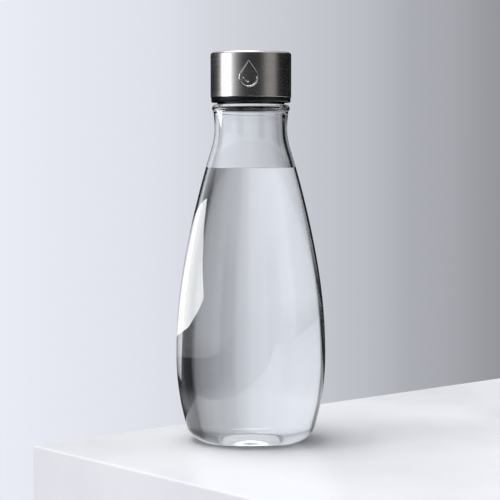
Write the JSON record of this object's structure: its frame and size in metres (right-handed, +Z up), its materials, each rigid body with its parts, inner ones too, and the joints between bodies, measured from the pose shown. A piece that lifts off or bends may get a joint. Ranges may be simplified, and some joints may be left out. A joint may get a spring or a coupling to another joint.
{
  "type": "glass water bottle",
  "caption": "Clear glass water bottle with a tapered body, waisted neck and a steel-clad screw cap that unscrews and lifts clear.",
  "frame": {"origin": "on the table, on the bottle's axis, in the plane of the foot ring", "axes": "+Z up the bottle's axis to the cap, -Y to the side that carries the relief mark"},
  "size_m": [0.0838, 0.0838, 0.2172],
  "materials": {
    "clear_glass": "polished",
    "brushed_steel": "satin",
    "black_plastic": "satin",
    "silicone": "matte",
    "pad_foam": "matte",
    "water": "polished"
  },
  "bodies": {
    "bottle": {"glass_bottle": "clear_glass"},
    "seal_ring": {"cap_seal": "silicone"},
    "cap": {"cap_insert": "black_plastic", "bond_pad": "pad_foam", "cap_shell": "brushed_steel"}
  },
  "joints": [
    {"name": "cap_rise", "type": "slide", "parent": "bottle", "child": "seal_ring", "axis": [0, 0, 1], "range_m": [0, 0.02001]},
    {"name": "cap_turn", "type": "hinge", "parent": "seal_ring", "child": "cap", "pos_m": [0, 0, 0.1923], "axis": [0, 0, 1], "range_deg": [0, 900]}
  ],
  "couplings": [
    {"joint": "cap_rise", "follows": "cap_turn", "m_per_rad": 0.0012732}
  ]
}
